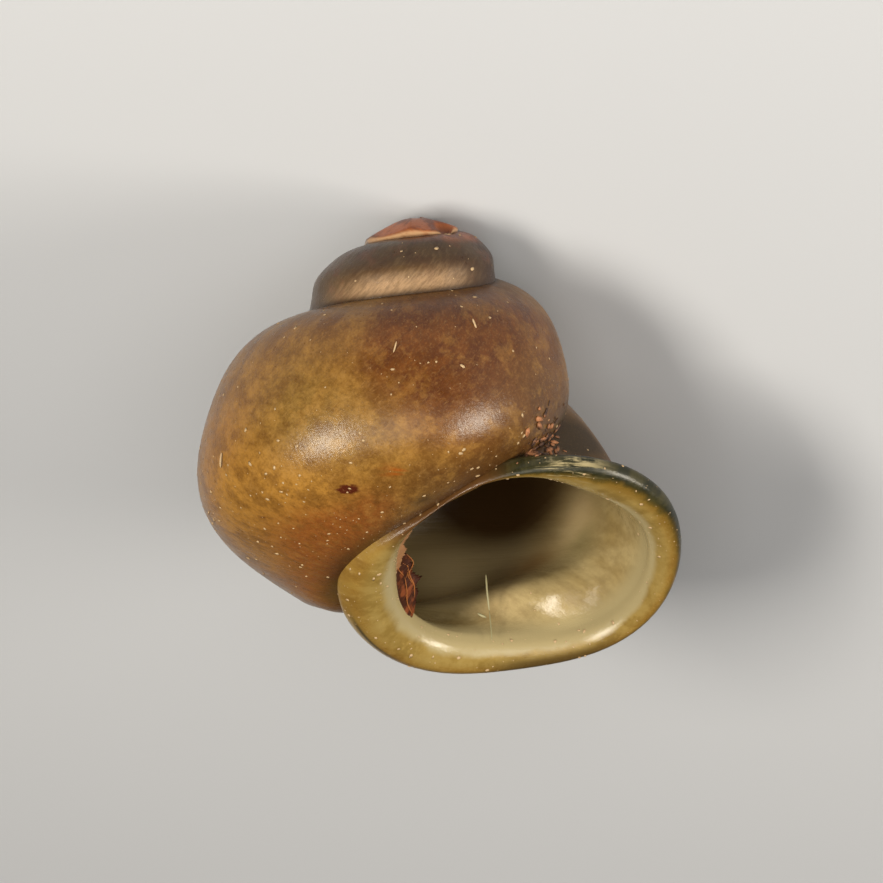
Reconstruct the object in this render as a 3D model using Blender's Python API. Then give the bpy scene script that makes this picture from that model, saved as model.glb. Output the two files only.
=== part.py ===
"""A freshwater snail shell, about 7 mm across, lying on its back with the aperture turned up.

The shell is one tube wound round an axis and growing at a steady rate: every point of the tube moves round,
down and outwards, EXPANSION times as far from the start with each turn. Near the aperture the tube leaves
that spiral, grows narrower and turns down into a thick lip. Lengths here are in millimetres and in the
shell's own frame: its axis is Z with the apex up, the aperture faces -Y, and the spiral starts at the origin.
"""

import math

import bmesh
import bpy
import numpy as np

MM = 0.001

# The spiral. Turn 0 is near the aperture, and earlier turns are negative
EXPANSION = 1.976
TUBE_OUT = 1.888  # middle of the tube from the axis, at turn 0
TUBE_DOWN = 5.434  # middle of the tube below the origin, at turn 0
TUBE_RADIUS = 2.536
# How the tube's section departs from a circle: waves round it, with their cosine and sine shares
SECTION_WAVES = ((2, -0.092, -0.024), (3, 0.058, 0.005), (4, -0.031, -0.029))
FIRST_AZIMUTH = 0.25
APEX_TURN = -3.3
TILT = 0.15  # turns by which a growth line runs ahead on the apex side
OUTSIDE_SLACK = 0.30  # how softly the outside stops short of the axis
INSIDE_SLACK = 0.70

# The last part of the whorl, where the tube leaves the spiral for the lip. The base leaves it last
BEND_TURN = -0.52
BEND_LATER = 0.36  # turns by which the base leaves it later
BASE_ANGLE = math.radians(310)
LIP_TURN = 0.06
LIP_BACK_WAY = (-0.48, 0.63, 0.61)  # direction in which the wall runs back from the lip
LIP_RUN = 0.55  # share of the spiral's own pace with which it does
LIP_RUN_LEAST = 0.35  # distance from the axis under which that pace falls no further
LIP_MIDDLE = (1.423, -0.263, -5.705)
LIP_AZIMUTH = math.radians(9.7)
LIP_PITCH = math.radians(47.6)
WALL = 0.12

# Distances from the middle of the aperture every 30 degrees, from the outer side towards the apex
RIM = (2.53, 2.61, 2.47, 2.16, 1.89, 1.85, 2.33, 2.56, 2.51, 2.25, 2.24, 2.45)
THROAT = (2.10, 1.99, 1.78, 1.86, 1.80, 1.68, 1.61, 1.70, 1.85, 1.80, 1.91, 2.10)
# The lip's profile: height along the aperture's axis, and the share of the way out to the rim
LIP_BACK = ((-0.35, 0.00), (-0.31, 0.20), (-0.26, 0.50), (-0.20, 0.78), (-0.12, 0.97), (-0.04, 1.00))
LIP_FACE = ((0.00, 0.86), (-0.02, 0.60), (-0.07, 0.30), (-0.16, 0.06), (-0.35, -0.04))

# The hollow behind the lip, and the deeper hollow that winds on past the whorl before
MOUTH_TURNS = 0.22
HOLLOW_TURNS = (-2.0, -0.14)
HOLLOW_STEP_IN = 0.02  # the deeper hollow's wall is this much thicker
DENT = (112, 38, 1.25)  # where the whorl before takes the room: middle and half width in degrees, depth
PILLAR_DENT = (180, 35, 0.50)

# The pillar of the axis, from the apex down into the foot behind the inner lip: middle and radius
PILLAR = (
    (0.0, 0.0, -0.55, 0.10),
    (0.0, 0.0, -1.5, 0.17),
    (0.0, 0.0, -3.0, 0.26),
    (0.0, 0.0, -4.0, 0.30),
    (-0.12, 0.0, -4.6, 0.26),
    (-0.34, 0.02, -5.1, 0.17),
    (-0.38, 0.12, -5.55, 0.15),
    (-0.33, 0.45, -6.0, 0.16),
    (-0.20, 0.70, -6.32, 0.16),
    (-0.06, 0.88, -6.50, 0.10),
)

# How it lies: the direction that points up, in the shell's frame, and the depth worn flat where it touches
REST_UP = (-0.209, -0.674, -0.709)
WORN_FLAT = 0.05

# The worn apex: above WORN_FROM the height is pressed together to WORN_SHARE of itself
WORN_FROM = -0.85
WORN_SHARE = 0.62
WORN_EASE = 0.1

ROUND = 34
ROWS_PER_TURN = 34
HOLLOW_ROWS_PER_TURN = 15
PILLAR_ROUND = 16
GROUND_SIZE = 20

ANGLES = np.arange(ROUND) * 2 * np.pi / ROUND


def wave_sum(values):
    """The smooth closed curve through values at equal steps of angle, read at ANGLES: the sum of its waves."""
    parts = np.fft.rfft(values) / len(values)
    number = np.arange(len(parts))
    weight = np.where((number == 0) | (2 * number == len(values)), 1.0, 2.0)
    return ((parts * weight)[:, None] * np.exp(1j * number[:, None] * ANGLES)).real.sum(axis=0)


def smooth_step(share):
    share = np.clip(share, 0.0, 1.0)
    return share * share * (3 - 2 * share)


def hump(middle, width):
    """1 at the angle middle, in degrees, falling to 0 over about twice the width."""
    return np.exp(-(((np.degrees(ANGLES) - middle) / width) ** 2))


def section(inset, slack):
    """Distance from the axis and height of the tube's wall at turn 0, drawn in by inset.

    A distance d becomes (d + root of (d squared + slack squared)) / 2, which never reaches the axis.
    """
    radius = np.ones(ROUND)
    for number, cosine, sine in SECTION_WAVES:
        radius += cosine * np.cos(number * ANGLES) + sine * np.sin(number * ANGLES)
    radius = TUBE_RADIUS * radius - inset
    distance = TUBE_OUT + radius * np.cos(ANGLES)
    return (distance + np.sqrt(distance**2 + slack**2)) / 2, radius * np.sin(ANGLES) - TUBE_DOWN


def lip_axes():
    """The aperture's outer direction, its apex-side direction, and its own axis, pointing out of it."""
    along = np.array([math.sin(LIP_AZIMUTH), -math.cos(LIP_AZIMUTH), 0.0])
    up = np.array([0.0, 0.0, 1.0])
    outward = np.array([math.cos(LIP_AZIMUTH), math.sin(LIP_AZIMUTH), 0.0])
    cosine, sine = math.cos(LIP_PITCH), math.sin(LIP_PITCH)
    return outward, up * cosine + along * sine, along * cosine - up * sine


def lip_ring(height, radius):
    outward, apexward, axis = lip_axes()
    turn = np.cos(ANGLES)[:, None] * outward + np.sin(ANGLES)[:, None] * apexward
    return np.array(LIP_MIDDLE) + height * axis + radius[:, None] * turn


def lip_rings(profile, inner, outer):
    return [lip_ring(height, inner + share * (outer - inner)) for height, share in profile]


def tube_rings(turns, inset, slack, mouth):
    """The tube's growth lines at these turns: the spiral, which blends into straight runs behind mouth."""
    distance, height = section(inset, slack)
    turn = turns[:, None] + TILT * np.sin(ANGLES)
    size = EXPANSION**turn
    azimuth = FIRST_AZIMUTH - 2 * np.pi * turn
    spiral = np.stack(
        [size * distance * np.cos(azimuth), size * distance * np.sin(azimuth), size * height], axis=-1
    )
    pace = LIP_RUN * 2 * np.pi * np.maximum(distance, LIP_RUN_LEAST)
    way = np.array(LIP_BACK_WAY) / np.linalg.norm(LIP_BACK_WAY)
    run = mouth + (pace * (LIP_TURN - turns[:, None]))[..., None] * way
    start = BEND_TURN + BEND_LATER * (0.5 + 0.5 * np.cos(ANGLES - BASE_ANGLE)) ** 3
    share = smooth_step((turns[:, None] - start) / (LIP_TURN - start))[..., None]
    return list((1 - share) * spiral + share * run)


def worn(points):
    """The apex pressed down by wear."""
    points = points.copy()
    over = np.maximum(points[:, 2] - WORN_FROM, 0.0)
    points[:, 2] -= (1 - WORN_SHARE) * over * over / (over + WORN_EASE)
    return points


def rest_axes():
    """Rows are the X, Y and Z directions of the resting shell: Y runs level, away from the aperture's side."""
    up = np.array(REST_UP) / np.linalg.norm(REST_UP)
    away = np.array([0.0, 1.0, 0.0]) - up[1] * up
    away /= np.linalg.norm(away)
    return np.stack([np.cross(away, up), away, up])


def closed_tube(name, rings, middle):
    """A mesh whose rings are joined in order, with a fan of triangles at each end.

    The rings are turned as the shell lies, and middle comes to the origin.
    """
    mesh = bmesh.new()
    count = len(rings[0])
    loops = [[mesh.verts.new(point * MM) for point in worn(points) @ rest_axes().T - middle] for points in rings]
    for first, second in zip(loops, loops[1:]):
        for i in range(count):
            j = (i + 1) % count
            mesh.faces.new((first[i], first[j], second[j], second[i]))
    for loop, turned in ((loops[0], True), (loops[-1], False)):
        hub = mesh.verts.new(sum((vertex.co for vertex in loop), loop[0].co * 0) / count)
        for i in range(count):
            a, b = loop[i], loop[(i + 1) % count]
            mesh.faces.new((b, a, hub) if turned else (a, b, hub))
    if mesh.calc_volume(signed=True) < 0:
        bmesh.ops.reverse_faces(mesh, faces=mesh.faces[:])
    data = bpy.data.meshes.new(name)
    mesh.to_mesh(data)
    mesh.free()
    thing = bpy.data.objects.new(name, data)
    bpy.context.scene.collection.objects.link(thing)
    return thing


def shell_rings():
    """The tube from the apex to the lip, over the lip and a little way back into the hollow."""
    throat = wave_sum(THROAT)
    rim = wave_sum(RIM)
    back = lip_rings(LIP_BACK, throat + WALL, rim)
    face = lip_rings(LIP_FACE, throat, rim)
    turns = np.linspace(APEX_TURN, LIP_TURN, round((LIP_TURN - APEX_TURN) * ROWS_PER_TURN))
    inside = np.linspace(LIP_TURN, LIP_TURN - MOUTH_TURNS, round(MOUTH_TURNS * ROWS_PER_TURN))
    rings = tube_rings(turns[:-1], 0.0, OUTSIDE_SLACK, back[0]) + back + face
    return rings + tube_rings(inside[1:], WALL, INSIDE_SLACK, face[-1])


def pillar_rings():
    angles = np.arange(PILLAR_ROUND) * 2 * np.pi / PILLAR_ROUND
    flat = np.stack([np.cos(angles), np.sin(angles), 0 * angles], axis=-1)
    return [flat * radius + np.array(centre) for *centre, radius in PILLAR]


def hollow_rings():
    """The deeper hollow, which keeps clear of the whorl before and of the pillar."""
    inset = WALL + HOLLOW_STEP_IN + DENT[2] * hump(*DENT[:2]) + PILLAR_DENT[2] * hump(*PILLAR_DENT[:2])
    turns = np.linspace(*HOLLOW_TURNS, round((HOLLOW_TURNS[1] - HOLLOW_TURNS[0]) * HOLLOW_ROWS_PER_TURN))
    mouth = lip_ring(LIP_FACE[-1][0], wave_sum(THROAT) - inset + WALL)
    return tube_rings(turns, inset, INSIDE_SLACK, mouth)


def resting_middle(rings):
    """The middle of the box round the resting shell, at the level to which it is worn flat below."""
    points = np.concatenate([worn(points) for points in rings]) @ rest_axes().T
    low, high = points.min(axis=0), points.max(axis=0)
    return np.array([(low[0] + high[0]) / 2, (low[1] + high[1]) / 2, low[2] + WORN_FLAT])


def ground():
    bpy.ops.mesh.primitive_cube_add(size=GROUND_SIZE * MM, location=(0.0, 0.0, -GROUND_SIZE / 2 * MM))
    block = bpy.context.object
    block.name = "ground"
    return block


def join(target, other, operation, solver="EXACT"):
    modifier = target.modifiers.new(other.name, "BOOLEAN")
    modifier.operation = operation
    modifier.object = other
    modifier.solver = solver
    modifier.use_self = operation == "UNION"
    other.hide_render = True
    other.display_type = "WIRE"


def horn_material():
    material = bpy.data.materials.new("olive_brown_shell")
    material.use_nodes = True
    shader = material.node_tree.nodes["Principled BSDF"]
    shader.inputs["Base Color"].default_value = (0.20, 0.13, 0.045, 1.0)
    shader.inputs["Roughness"].default_value = 0.38
    return material


for thing in list(bpy.data.objects):
    bpy.data.objects.remove(thing)
wall_rings = shell_rings()
middle = resting_middle(wall_rings)
shell = closed_tube("snail_shell", wall_rings, middle)
shell.data.materials.append(horn_material())
shell.data.shade_smooth()
shell.data.set_sharp_from_angle(angle=math.radians(35))
join(shell, closed_tube("pillar", pillar_rings(), middle), "UNION")
# The exact solver gives up on the winding tube, so the cuts use the other one
join(shell, closed_tube("hollow", hollow_rings(), middle), "DIFFERENCE", "MANIFOLD")
join(shell, ground(), "DIFFERENCE", "MANIFOLD")
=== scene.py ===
# %% [markdown]
# # A freshwater snail shell
# The shell is about 7 mm across. It lies on its back with the aperture turned up, and the photograph is
# taken from above with the spire at the top of the picture. The frame is that of the imported solid.

import bpy
import numpy as np
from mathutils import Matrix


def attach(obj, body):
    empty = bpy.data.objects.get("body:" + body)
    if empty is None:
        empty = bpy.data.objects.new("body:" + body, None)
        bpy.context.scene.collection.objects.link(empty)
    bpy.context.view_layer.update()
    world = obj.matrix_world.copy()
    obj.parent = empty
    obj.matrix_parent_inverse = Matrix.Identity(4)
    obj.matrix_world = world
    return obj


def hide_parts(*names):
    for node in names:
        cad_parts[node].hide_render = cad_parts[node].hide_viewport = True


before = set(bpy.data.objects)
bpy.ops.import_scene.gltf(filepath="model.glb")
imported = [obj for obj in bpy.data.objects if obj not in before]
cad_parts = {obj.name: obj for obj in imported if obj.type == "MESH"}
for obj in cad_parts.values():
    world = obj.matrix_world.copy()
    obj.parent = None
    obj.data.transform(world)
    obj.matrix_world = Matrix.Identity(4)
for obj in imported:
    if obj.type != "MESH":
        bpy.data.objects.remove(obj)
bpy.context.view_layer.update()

# %% [markdown]
# ## The shell's own frame
# A snail builds its shell by adding to the edge of the aperture, always a little further round, down and
# out. So every point of the tube lies on a spiral whose size grows by the same factor in each turn.
# Lengths are in millimetres, the axis is Z with the apex up, and the spiral starts at the origin. Another
# way would be to sweep a circle along a curve, but then the section couldn't overlap the whorl before it
# as the real one does.

# %% Numbers of the spiral
EXPANSION = 1.976
TUBE_OUT = 1.888
TUBE_DOWN = 5.434
TUBE_RADIUS = 2.536
SECTION_WAVES = ((2, -0.092, -0.024), (3, 0.058, 0.005), (4, -0.031, -0.029))
FIRST_AZIMUTH = 0.25
APEX_TURN = -3.3
TILT = 0.15
OUTSIDE_SLACK = 0.30
INSIDE_SLACK = 0.70
WALL = 0.12

BEND_TURN = -0.52
BEND_LATER = 0.36
BASE_ANGLE = np.radians(310)
LIP_TURN = 0.06
LIP_BACK_WAY = np.array((-0.48, 0.63, 0.61))
LIP_RUN = 0.55
LIP_RUN_LEAST = 0.35
LIP_MIDDLE = np.array((1.423, -0.263, -5.705))
LIP_AZIMUTH = np.radians(9.7)
LIP_PITCH = np.radians(47.6)

REST_UP = np.array((-0.209, -0.674, -0.709))
RESTING_MIDDLE = np.array((-1.72824, 3.04824, 0.04390))
MM = 0.001

ROUND = 168
ROWS_PER_TURN = 132
ANGLES = np.arange(ROUND) * 2 * np.pi / ROUND


# %% [markdown]
# ## Curves
# Four small tools shape everything here: a soft step, a bell, a closed curve through a few values round
# the tube, and a smooth line through a few points. Blender's own curves could do the last two, but arrays
# are easier to add up.

# %% Helpers for curves
def smooth_step(share):
    """0 below 0, 1 above 1, and 3 s^2 - 2 s^3 between."""
    share = np.clip(share, 0.0, 1.0)
    return share * share * (3 - 2 * share)


def bell(distance, width):
    """exp(-(distance / width)^2): 1 at distance 0, and near 0 from two widths on."""
    return np.exp(-((distance / width) ** 2))


def wave_sum(values):
    """The closed curve through values at equal steps of angle: the sum of its own waves at ANGLES."""
    parts = np.fft.rfft(values) / len(values)
    number = np.arange(len(parts))
    weight = np.where((number == 0) | (2 * number == len(values)), 1.0, 2.0)
    return ((parts * weight)[:, None] * np.exp(1j * number[:, None] * ANGLES)).real.sum(axis=0)


def bent_line(points, count):
    """count points on a smooth line through points: cubics whose ends slope as their neighbours do."""
    points = np.array(points, float)
    padded = np.vstack([2 * points[0] - points[1], points, 2 * points[-1] - points[-2]])
    place = np.linspace(0, len(points) - 1, count)
    start = np.minimum(place.astype(int), len(points) - 2)
    s = (place - start)[:, None]
    before, first, last, after = (padded[start + k] for k in range(4))
    return 0.5 * (
        2 * first
        + (last - before) * s
        + (2 * before - 5 * first + 4 * last - after) * s**2
        + (3 * first - before - 3 * last + after) * s**3
    )


# %% [markdown]
# ## The tube
# The section is a circle with a few waves on it, which flatten the shoulder and the base. Growth lines
# are tilted against the axis: they run ahead on the side of the spire. Over the last half turn the tube
# leaves the spiral, straightens and runs into the lip, the base last. The blend of the two keeps the wall
# free of folds.

# %% The tube's section and growth lines
def section(inset, slack):
    """At turn 0: the wall's distance d, softened to half of d + root(d^2 + slack^2), and its height."""
    radius = np.ones(ROUND)
    for number, cosine, sine in SECTION_WAVES:
        radius += cosine * np.cos(number * ANGLES) + sine * np.sin(number * ANGLES)
    radius = TUBE_RADIUS * radius - inset
    distance = TUBE_OUT + radius * np.cos(ANGLES)
    return (distance + np.sqrt(distance**2 + slack**2)) / 2, radius * np.sin(ANGLES) - TUBE_DOWN


def tube_rings(turns, inset, slack, mouth):
    """Size = EXPANSION^turn, azimuth = first - 2 pi turn, blended into straight runs back from mouth."""
    distance, height = section(inset, slack)
    turn = turns[:, None] + TILT * np.sin(ANGLES)
    size = EXPANSION**turn
    azimuth = FIRST_AZIMUTH - 2 * np.pi * turn
    spiral = np.stack(
        [size * distance * np.cos(azimuth), size * distance * np.sin(azimuth), size * height], axis=-1
    )
    pace = LIP_RUN * 2 * np.pi * np.maximum(distance, LIP_RUN_LEAST)
    way = LIP_BACK_WAY / np.linalg.norm(LIP_BACK_WAY)
    run = mouth + (pace * (LIP_TURN - turns[:, None]))[..., None] * way
    start = BEND_TURN + BEND_LATER * (0.5 + 0.5 * np.cos(ANGLES - BASE_ANGLE)) ** 3
    share = smooth_step((turns[:, None] - start) / (LIP_TURN - start))[..., None]
    return (1 - share) * spiral + share * run


# %% [markdown]
# ## The lip
# An adult shell ends in a thick lip that is turned outwards and lies in one plane. Its profile goes from
# the back of the rim over the crest and down the face into the throat. Both the rim and the throat are
# closed curves round the aperture's middle, given by their distance every 30 degrees. At the top the lip
# is rolled back, so that its dark outer skin shows from the front. Towards the axis it is a broad,
# swollen pad, folded back over the base.

# %% The lip's rings
RIM = (2.53, 2.61, 2.47, 2.16, 1.89, 1.85, 2.33, 2.56, 2.51, 2.25, 2.24, 2.45)
THROAT = (2.10, 1.99, 1.78, 1.86, 1.80, 1.68, 1.61, 1.70, 1.85, 1.80, 1.91, 2.10)
ROLLED = (0.20, 0.45, 0.55, 0.50, 0.20, 0.00, 0.00, 0.00, 0.00, 0.00, 0.05, 0.15)
SWOLLEN = (0.00, 0.00, 0.00, 0.00, 0.20, 0.80, 1.00, 0.90, 0.50, 0.15, 0.00, 0.00)
FLAT_LIP = (
    (-0.35, 0.00), (-0.31, 0.20), (-0.26, 0.50), (-0.20, 0.78), (-0.12, 0.97), (-0.04, 1.00),
    (0.02, 0.93), (0.03, 0.75), (0.00, 0.50), (-0.07, 0.24), (-0.18, 0.04), (-0.35, -0.04),
)
ROLLED_LIP = (
    (-0.35, 0.00), (-0.37, 0.24), (-0.40, 0.54), (-0.40, 0.82), (-0.33, 0.98), (-0.22, 1.00),
    (-0.08, 0.90), (0.02, 0.71), (0.04, 0.48), (-0.04, 0.22), (-0.17, 0.03), (-0.35, -0.04),
)
SWOLLEN_LIP = (
    (-0.35, 0.00), (-0.34, 0.25), (-0.33, 0.55), (-0.31, 0.80), (-0.27, 0.96), (-0.21, 1.00),
    (-0.11, 0.93), (0.01, 0.75), (0.05, 0.50), (0.00, 0.24), (-0.13, 0.05), (-0.35, -0.04),
)
LIP_ROWS = 40


def lip_axes():
    """The aperture's outer direction, its apex-side direction, and its own axis, which points out of it."""
    along = np.array([np.sin(LIP_AZIMUTH), -np.cos(LIP_AZIMUTH), 0.0])
    up = np.array([0.0, 0.0, 1.0])
    outward = np.array([np.cos(LIP_AZIMUTH), np.sin(LIP_AZIMUTH), 0.0])
    cosine, sine = np.cos(LIP_PITCH), np.sin(LIP_PITCH)
    return outward, up * cosine + along * sine, along * cosine - up * sine


def lip_profile():
    """Height and share of the rim for each row and angle: flat + rolled part + swollen part."""
    flat, rolled, swollen = (bent_line(p, LIP_ROWS)[:, None, :] for p in (FLAT_LIP, ROLLED_LIP, SWOLLEN_LIP))
    rolled_part = wave_sum(ROLLED)[None, :, None]
    swollen_part = wave_sum(SWOLLEN)[None, :, None]
    return flat + rolled_part * (rolled - flat) + swollen_part * (swollen - flat)


def lip_rings():
    """Each ring: middle + height * axis + (inner + share * (rim - inner)) * direction."""
    outward, apexward, axis = lip_axes()
    direction = np.cos(ANGLES)[:, None] * outward + np.sin(ANGLES)[:, None] * apexward
    profile = lip_profile()
    throat, rim = wave_sum(THROAT), wave_sum(RIM)
    behind = smooth_step(1 - np.linspace(0, 2, LIP_ROWS))[:, None] * WALL
    inner = throat + behind
    radius = inner + profile[..., 1] * (rim - inner)
    return LIP_MIDDLE + profile[..., :1] * axis + radius[..., None] * direction


# %% [markdown]
# ## The rows of the surface
# Tube, lip and lining are rows of one grid, so the skin runs without a seam from the apex over the lip
# into the hollow. The tube passes through the whorl before it, as the real walls are fused there, and the
# whorl before shows in the aperture as its back wall.

# %% Rows of the tube, the lip and the hollow
INSIDE_TURNS = 0.55
INSIDE_ROWS = 60

outside_turns = np.linspace(APEX_TURN, LIP_TURN, round((LIP_TURN - APEX_TURN) * ROWS_PER_TURN))
inside_turns = np.linspace(LIP_TURN, LIP_TURN - INSIDE_TURNS, INSIDE_ROWS)
lip = lip_rings()
outside = tube_rings(outside_turns, 0.0, OUTSIDE_SLACK, lip[0])
inside = tube_rings(inside_turns, WALL, INSIDE_SLACK, lip[-1])
OUT_ROWS = len(outside) - 1
print(len(outside), "rows outside,", LIP_ROWS, "on the lip,", INSIDE_ROWS, "inside")

# %% [markdown]
# ## Swellings of the spire and the base
# No shell keeps quite to its spiral. Here the whorls of the spire bulge, and the base is fuller beside
# the lower end of the lip. Both are soft bells added to the rows. Sculpting would do it too, but it
# couldn't be run again with other numbers.

# %% Swell the spire and the base
SPIRE_BULGE = 0.13
BULGE_ANGLE = np.radians(30)
BULGE_WIDTH = np.radians(15)
BULGE_END = -1.15
BULGE_EASE = 0.15
BASE_PUSH = 0.11
BASE_PLACE = np.array((-1.05, 0.75, -6.25))
BASE_WIDTH = 0.40
BASE_END = -0.12
BASE_EASE = 0.16

bulge = SPIRE_BULGE * bell(ANGLES - BULGE_ANGLE, BULGE_WIDTH)
on_spire = smooth_step((BULGE_END - outside_turns) / BULGE_EASE) * EXPANSION**outside_turns
azimuth = FIRST_AZIMUTH - 2 * np.pi * (outside_turns[:, None] + TILT * np.sin(ANGLES))
rise = np.broadcast_to(np.tan(BULGE_ANGLE), azimuth.shape)
swelling = np.stack([np.cos(azimuth), np.sin(azimuth), rise], axis=-1)
outside += (on_spire[:, None] * bulge)[..., None] * swelling

from_base = np.linalg.norm(outside - BASE_PLACE, axis=-1)
before_lip = 1 - smooth_step((outside_turns[:, None] - BASE_END) / BASE_EASE)
outside[..., 2] -= BASE_PUSH * bell(from_base, BASE_WIDTH) * before_lip
print("swollen by up to", SPIRE_BULGE, "and", BASE_PUSH, "mm")

# %% [markdown]
# ## The ledge and the pearl
# Inside the aperture, low on the right, the lime is thick and forms a broad ledge with a small round
# pearl, which catches the light. The lining itself is bent here: a pearl as a ball of its own would show
# a seam.

# %% Raise the ledge and the pearl
LEDGE_ANGLE = np.radians(312)
LEDGE_WIDTH = np.radians(27)
LEDGE_HEIGHT = 0.50
LEDGE_RISE = 1.0
LEDGE_FALL_FROM = 0.9
LEDGE_FALL = 2.3
PEARL_PLACE = np.array((2.20, 1.50, -5.99))
PEARL_WAY = np.array((-0.34, -0.93, 0.12))
PEARL_HEIGHT = 0.13
PEARL_RADIUS = 0.34

inside_steps = np.linalg.norm(np.diff(inside, axis=0), axis=-1)
depth = np.vstack([np.zeros(ROUND), np.cumsum(inside_steps, axis=0)])
ledge = LEDGE_HEIGHT * bell(ANGLES - LEDGE_ANGLE, LEDGE_WIDTH)
ledge = ledge * smooth_step(depth / LEDGE_RISE) * (1 - smooth_step((depth - LEDGE_FALL_FROM) / LEDGE_FALL))
outward, apexward, _ = lip_axes()
inside -= ledge[..., None] * (np.cos(ANGLES)[:, None] * outward + np.sin(ANGLES)[:, None] * apexward)
from_pearl = np.linalg.norm(inside - PEARL_PLACE, axis=-1)
inside += (PEARL_HEIGHT * bell(from_pearl, PEARL_RADIUS))[..., None] * PEARL_WAY
print("ledge rises to", ledge.max().round(2), "mm")

# %% [markdown]
# ## The worn apex
# The first whorls are the oldest, and they are worn: the top is pressed low and chipped to a blunt cone,
# with a small pit in it. A boolean cut would leave a hard edge, so the height is limited softly instead.

# %% Wear the apex down
WORN_FROM = -0.85
WORN_SHARE = 0.62
WORN_EASE = 0.1
TIP = np.array((-0.13, -0.25, -0.50))
LEFT_SLOPE = 0.62
RIGHT_SLOPE = 0.26
FRONT_SLOPE = 0.50
CHIP_EASE = 0.09
CHIP_END = -2.15
CHIP_FADE = 0.25
PIT_PLACE = np.array((0.36, -0.42, -0.72))
PIT_RADIUS = 0.13
PIT_DEPTH = 0.10


def worn(points):
    """Above WORN_FROM the height is pressed together to WORN_SHARE of itself."""
    over = np.maximum(points[..., 2] - WORN_FROM, 0.0)
    points[..., 2] -= (1 - WORN_SHARE) * over * over / (over + WORN_EASE)
    return points


def chipped(points, share):
    """Height = the lesser of itself and tip - slopes * distance, softened. The pit is a round dent."""
    left, right = np.maximum(TIP[0] - points[..., 0], 0.0), np.maximum(points[..., 0] - TIP[0], 0.0)
    front = np.maximum(TIP[1] - points[..., 1], 0.0)
    cone = TIP[2] - LEFT_SLOPE * left - RIGHT_SLOPE * right - FRONT_SLOPE * front
    over = points[..., 2] - cone
    points[..., 2] += share * 0.5 * (-over - np.sqrt(over * over + CHIP_EASE**2))
    pit = np.linalg.norm(points - PIT_PLACE, axis=-1)
    points[..., 2] -= PIT_DEPTH * np.exp(-((pit / PIT_RADIUS) ** 4))
    return points


unworn = np.concatenate([outside[:-1], lip, inside[1:]])
all_turns = np.concatenate([outside_turns[:-1], np.full(LIP_ROWS, LIP_TURN), inside_turns[1:]])
grid = chipped(worn(unworn.copy()), smooth_step((CHIP_END - all_turns[:, None]) / CHIP_FADE))
print("grid of", grid.shape[0], "rows by", ROUND)


# %% [markdown]
# ## From the shell's frame to the table
# The three axes of the resting shell are rows of one small matrix. Where the skin would go below the
# table it is worn flat, so the shell rests on three small facets.

# %% Lay the shell down
def rest_axes():
    """Rows are X, Y and Z of the resting shell: Y runs level, away from the aperture's side."""
    up = REST_UP / np.linalg.norm(REST_UP)
    away = np.array([0.0, 1.0, 0.0]) - up[1] * up
    away /= np.linalg.norm(away)
    return np.stack([np.cross(away, up), away, up])


AXES = rest_axes()


def laid(points):
    """Millimetres in the shell's frame to metres on the table."""
    return (points @ AXES.T - RESTING_MIDDLE) * MM


def grid_mesh(name, points, closed_ends=True):
    """A mesh from rows of rings: each row joins the next one, and a fan of triangles closes each end."""
    rows, count = points.shape[:2]
    first = np.arange(rows - 1)[:, None] * count + np.arange(count)
    across = np.arange(rows - 1)[:, None] * count + (np.arange(count) + 1) % count
    quads = np.stack([first, across, across + count, first + count], axis=-1).reshape(-1, 4)
    vertices = points.reshape(-1, 3)
    faces = quads.tolist()
    if closed_ends:
        vertices = np.vstack([vertices, points[0].mean(axis=0), points[-1].mean(axis=0)])
        step = np.arange(count)
        near = np.stack([(step + 1) % count, step, np.full(count, rows * count)], axis=-1)
        last = (rows - 1) * count
        far = np.stack([last + step, last + (step + 1) % count, np.full(count, rows * count + 1)], axis=-1)
        faces += near.tolist() + far.tolist()
    mesh = bpy.data.meshes.new(name)
    mesh.from_pydata(vertices.tolist(), [], faces)
    mesh.update()
    piece = bpy.data.objects.new(name, mesh)
    bpy.context.scene.collection.objects.link(piece)
    return piece


resting = laid(grid)
resting[..., 2] = np.maximum(resting[..., 2], 0.0)
shell = grid_mesh("shell_skin", resting)
shell.data.shade_smooth()
print("skin has", len(shell.data.polygons), "faces")


# %% [markdown]
# ## What the finish needs to know
# Each vertex carries a few numbers: its place along the tube for lines of growth, where it lies across the
# lip, how close the next whorl is, and how close it is to each stain and each spot of painted light or
# shade. They follow the surface wherever it goes, which a pattern in space wouldn't.

# %% Numbers along the tube and across the lip
LINE_LENGTH = 40.6
LINE_TILT = 0.12
GREEN_FROM = (0.93, 0.82, 0.73, 0.68, 0.85, 1.20, 1.40, 1.40, 1.10, 0.97, 0.90, 0.93)


def put(piece, name, values, kind="FLOAT"):
    """Stores one value or one vector for each vertex. The two end points take the value of their ring."""
    values = np.asarray(values, np.float32)
    flat = values.reshape(-1, values.shape[-1]) if kind == "FLOAT_VECTOR" else values.reshape(-1)
    short = len(piece.data.vertices) - len(flat)
    if short:
        flat = np.concatenate([flat, flat[:1], flat[-1:]])
    field = "vector" if kind == "FLOAT_VECTOR" else "value"
    piece.data.attributes.new(name, kind, "POINT").data.foreach_set(field, flat.ravel())


steps = np.linalg.norm(np.diff(grid, axis=0), axis=-1)
along = np.vstack([np.zeros(ROUND), np.cumsum(steps, axis=0)])
LAST_LIP = OUT_ROWS + LIP_ROWS - 1
share = lip_profile()[..., 1]
before_edge = np.arange(LIP_ROWS)[:, None] < share.argmax(axis=0)
lip_at = np.concatenate(
    [
        2.0 + along[OUT_ROWS] - along[:OUT_ROWS],
        np.where(before_edge, 2.0 - share, share),
        -0.04 + along[LAST_LIP] - along[LAST_LIP + 1 :],
    ]
)
put(shell, "lip_at", lip_at)
put(shell, "green_at", lip_at - wave_sum(GREEN_FROM))

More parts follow.
